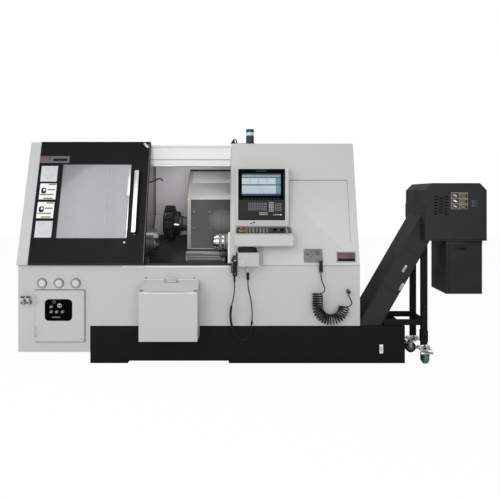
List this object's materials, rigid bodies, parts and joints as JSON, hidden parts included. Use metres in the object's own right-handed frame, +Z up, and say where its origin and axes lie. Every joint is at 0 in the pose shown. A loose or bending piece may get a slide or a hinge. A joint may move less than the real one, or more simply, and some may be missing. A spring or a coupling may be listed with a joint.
{
  "type": "cnc turning lathe",
  "caption": "Slant-bed turning lathe with a sloped front, sliding door, control panel, hand pendant and an inclined chip conveyor.",
  "frame": {"origin": "on the floor, under the middle of the whole machine", "axes": "+X to the right for the operator who faces the door, +Y to the back, +Z up"},
  "size_m": [4.084, 1.85, 2.103],
  "materials": {
    "access_door": "satin light grey powder coat",
    "air_fittings": "grey-green plate with metal fittings",
    "back_caster_fork": "zinc plated",
    "back_caster_wheel": "rubber tread",
    "base_frame": "textured black paint",
    "cabinet_door": "satin light grey powder coat",
    "cable_sleeves": "black sleeve",
    "chuck_body": "turned steel",
    "chuck_jaw_1": "machined steel",
    "chuck_jaw_2": "machined steel",
    "chuck_jaw_3": "machined steel",
    "console_housing": "satin light grey powder coat",
    "conveyor_belt": "hinged steel plates",
    "conveyor_casing": "satin black paint",
    "conveyor_drum": "steel",
    "conveyor_hood": "satin black paint",
    "conveyor_motor": "painted casting",
    "conveyor_stand": "satin black paint",
    "cross_slide": "painted casting",
    "display_housing": "satin light grey powder coat",
    "display_panel": "black keypad foil and screen",
    "door_tracks": "extruded rail",
    "door_window": "laminated safety glass",
    "electrical_cabinet": "satin light grey powder coat",
    "emergency_stop": "red mushroom button",
    "feed_knob": "black knob",
    "front_apron": "satin light grey powder coat",
    "front_caster_fork": "zinc plated",
    "front_caster_wheel": "rubber tread",
    "guide_rails": "ground steel",
    "headstock": "painted casting",
    "hose_coil": "polyurethane hose",
    "hose_ends": "polyurethane hose",
    "left_cover": "satin light grey powder coat",
    "live_centre": "ground steel",
    "pendant": "black housing",
    "pendant_box": "light grey box with a black tray",
    "pendant_cable": "black jacket",
    "pendant_dial": "black hand wheel",
    "pendant_selector": "black knob",
    "pressure_gauges": "dial behind glass",
    "quill": "ground steel",
    "right_cover": "satin light grey powder coat",
    "roof_cover": "satin white powder coat",
    "saddle": "machined casting",
    "saddle_drive": "painted",
    "saddle_guard": "grey paint",
    "saddle_screw": "ground steel",
    "service_box": "satin light grey powder coat",
    "service_lid": "satin light grey powder coat",
    "signal_lamp": "translucent lens between dark rings",
    "slant_bed": "painted casting",
    "sliding_door": "satin black powder coat",
    "speed_knob": "black knob",
    "spindle": "ground steel",
    "spindle_wall": "grey paint",
    "tailstock": "machined casting",
    "tool_holders": "machined steel",
    "turret_disc": "black oxide steel",
    "work_guards": "grey paint"
  },
  "bodies": {
    "machine": {"air_fittings": "air_fittings", "base_frame": "base_frame", "cable_sleeves": "cable_sleeves", "console_housing": "console_housing", "conveyor_belt": "conveyor_belt", "conveyor_casing": "conveyor_casing", "conveyor_hood": "conveyor_hood", "conveyor_motor": "conveyor_motor", "conveyor_stand": "conveyor_stand", "display_housing": "display_housing", "display_panel": "display_panel", "door_tracks": "door_tracks", "electrical_cabinet": "electrical_cabinet", "front_apron": "front_apron", "guide_rails": "guide_rails", "headstock": "headstock", "hose_coil": "hose_coil", "hose_ends": "hose_ends", "left_cover": "left_cover", "pendant": "pendant", "pendant_box": "pendant_box", "pendant_cable": "pendant_cable", "pressure_gauges": "pressure_gauges", "right_cover": "right_cover", "roof_cover": "roof_cover", "saddle_drive": "saddle_drive", "service_box": "service_box", "signal_lamp": "signal_lamp", "slant_bed": "slant_bed", "spindle_wall": "spindle_wall", "work_guards": "work_guards"},
    "door": {"sliding_door": "sliding_door", "door_window": "door_window"},
    "spindle": {"spindle": "spindle", "chuck_body": "chuck_body"},
    "jaw_1": {"chuck_jaw_1": "chuck_jaw_1"},
    "jaw_2": {"chuck_jaw_2": "chuck_jaw_2"},
    "jaw_3": {"chuck_jaw_3": "chuck_jaw_3"},
    "saddle": {"saddle": "saddle", "saddle_guard": "saddle_guard"},
    "cross_slide": {"cross_slide": "cross_slide"},
    "turret": {"turret_disc": "turret_disc", "tool_holders": "tool_holders"},
    "saddle_screw": {"saddle_screw": "saddle_screw"},
    "tailstock": {"tailstock": "tailstock"},
    "quill": {"quill": "quill"},
    "live_centre": {"live_centre": "live_centre"},
    "access_door": {"access_door": "access_door"},
    "service_lid": {"service_lid": "service_lid"},
    "cabinet_door": {"cabinet_door": "cabinet_door"},
    "emergency_stop": {"emergency_stop": "emergency_stop"},
    "feed_knob": {"feed_knob": "feed_knob"},
    "speed_knob": {"speed_knob": "speed_knob"},
    "pendant_dial": {"pendant_dial": "pendant_dial"},
    "pendant_selector": {"pendant_selector": "pendant_selector"},
    "front_fork": {"front_caster_fork": "front_caster_fork"},
    "back_fork": {"back_caster_fork": "back_caster_fork"},
    "front_wheel": {"front_caster_wheel": "front_caster_wheel"},
    "back_wheel": {"back_caster_wheel": "back_caster_wheel"},
    "conveyor_drum": {"conveyor_drum": "conveyor_drum"}
  },
  "joints": [
    {"name": "door_slide", "type": "slide", "parent": "machine", "child": "door", "axis": [1, 0, 0], "range_m": [0, 0.77]},
    {"name": "spindle_turn", "type": "hinge", "parent": "machine", "child": "spindle", "pos_m": [-1, -0.225, 1.02], "axis": [1, 0, 0], "continuous": true},
    {"name": "jaw_1_slide", "type": "slide", "parent": "spindle", "child": "jaw_1", "axis": [0, 0, 1], "range_m": [-0.005, 0.005]},
    {"name": "jaw_2_slide", "type": "slide", "parent": "spindle", "child": "jaw_2", "axis": [0, -0.866, -0.5], "range_m": [-0.005, 0.005]},
    {"name": "jaw_3_slide", "type": "slide", "parent": "spindle", "child": "jaw_3", "axis": [0, 0.866, -0.5], "range_m": [-0.005, 0.005]},
    {"name": "saddle_slide", "type": "slide", "parent": "machine", "child": "saddle", "axis": [1, 0, 0], "range_m": [-0.02, 0.36]},
    {"name": "screw_turn", "type": "hinge", "parent": "machine", "child": "saddle_screw", "pos_m": [0, 0.15401, 1.00869], "axis": [1, 0, 0], "continuous": true},
    {"name": "cross_slide_travel", "type": "slide", "parent": "saddle", "child": "cross_slide", "axis": [0, 0.7071, 0.7071], "range_m": [0, 0.15]},
    {"name": "turret_index", "type": "hinge", "parent": "cross_slide", "child": "turret", "pos_m": [-0.77, -0.05247, 1.19253], "axis": [1, 0, 0], "continuous": true},
    {"name": "tailstock_slide", "type": "slide", "parent": "machine", "child": "tailstock", "axis": [1, 0, 0], "range_m": [0, 0.25]},
    {"name": "quill_slide", "type": "slide", "parent": "tailstock", "child": "quill", "axis": [-1, 0, 0], "range_m": [0, 0.08]},
    {"name": "live_centre_turn", "type": "hinge", "parent": "quill", "child": "live_centre", "pos_m": [-0.35, -0.225, 1.02], "axis": [1, 0, 0], "continuous": true},
    {"name": "access_door_hinge", "type": "hinge", "parent": "machine", "child": "access_door", "pos_m": [-1.889, -0.743, 0.4], "axis": [0, 0, -1], "range_deg": [0, 110]},
    {"name": "service_lid_hinge", "type": "hinge", "parent": "machine", "child": "service_lid", "pos_m": [-0.69, -0.91864, 0.65875], "axis": [1, 0, 0], "range_deg": [0, 100]},
    {"name": "cabinet_door_hinge", "type": "hinge", "parent": "machine", "child": "cabinet_door", "pos_m": [0.506, 0.914, 1], "axis": [0, 0, -1], "range_deg": [0, 115]},
    {"name": "emergency_stop_press", "type": "slide", "parent": "machine", "child": "emergency_stop", "axis": [0, 0.2631, -0.9648], "range_m": [0, 0.006]},
    {"name": "feed_knob_turn", "type": "hinge", "parent": "machine", "child": "feed_knob", "pos_m": [0.218, -0.75273, 1.1748], "axis": [0, -0.2631, 0.9648], "range_deg": [-135, 135]},
    {"name": "speed_knob_turn", "type": "hinge", "parent": "machine", "child": "speed_knob", "pos_m": [0.278, -0.75273, 1.1748], "axis": [0, -0.2631, 0.9648], "range_deg": [-135, 135]},
    {"name": "pendant_dial_turn", "type": "hinge", "parent": "machine", "child": "pendant_dial", "pos_m": [-0.156, -0.795, 0.834], "axis": [-1, 0, 0], "continuous": true},
    {"name": "pendant_selector_turn", "type": "hinge", "parent": "machine", "child": "pendant_selector", "pos_m": [-0.156, -0.795, 0.915], "axis": [-1, 0, 0], "range_deg": [0, 120]},
    {"name": "front_swivel", "type": "hinge", "parent": "machine", "child": "front_fork", "pos_m": [1.538, -0.7, 0.1], "axis": [0, 0, 1], "continuous": true},
    {"name": "back_swivel", "type": "hinge", "parent": "machine", "child": "back_fork", "pos_m": [1.538, -0.4, 0.1], "axis": [0, 0, 1], "continuous": true},
    {"name": "front_wheel_turn", "type": "hinge", "parent": "front_fork", "child": "front_wheel", "pos_m": [1.538, -0.725, 0.05], "axis": [1, 0, 0], "continuous": true},
    {"name": "back_wheel_turn", "type": "hinge", "parent": "back_fork", "child": "back_wheel", "pos_m": [1.513, -0.4, 0.05], "axis": [0, 1, 0], "continuous": true},
    {"name": "conveyor_turn", "type": "hinge", "parent": "machine", "child": "conveyor_drum", "pos_m": [1.62927, -0.5, 1.33], "axis": [0, 1, 0], "continuous": true}
  ],
  "couplings": [
    {"joint": "jaw_2_slide", "follows": "jaw_1_slide", "ratio": 1},
    {"joint": "jaw_3_slide", "follows": "jaw_1_slide", "ratio": 1},
    {"joint": "screw_turn", "follows": "saddle_slide", "rad_per_m": 314.16}
  ]
}
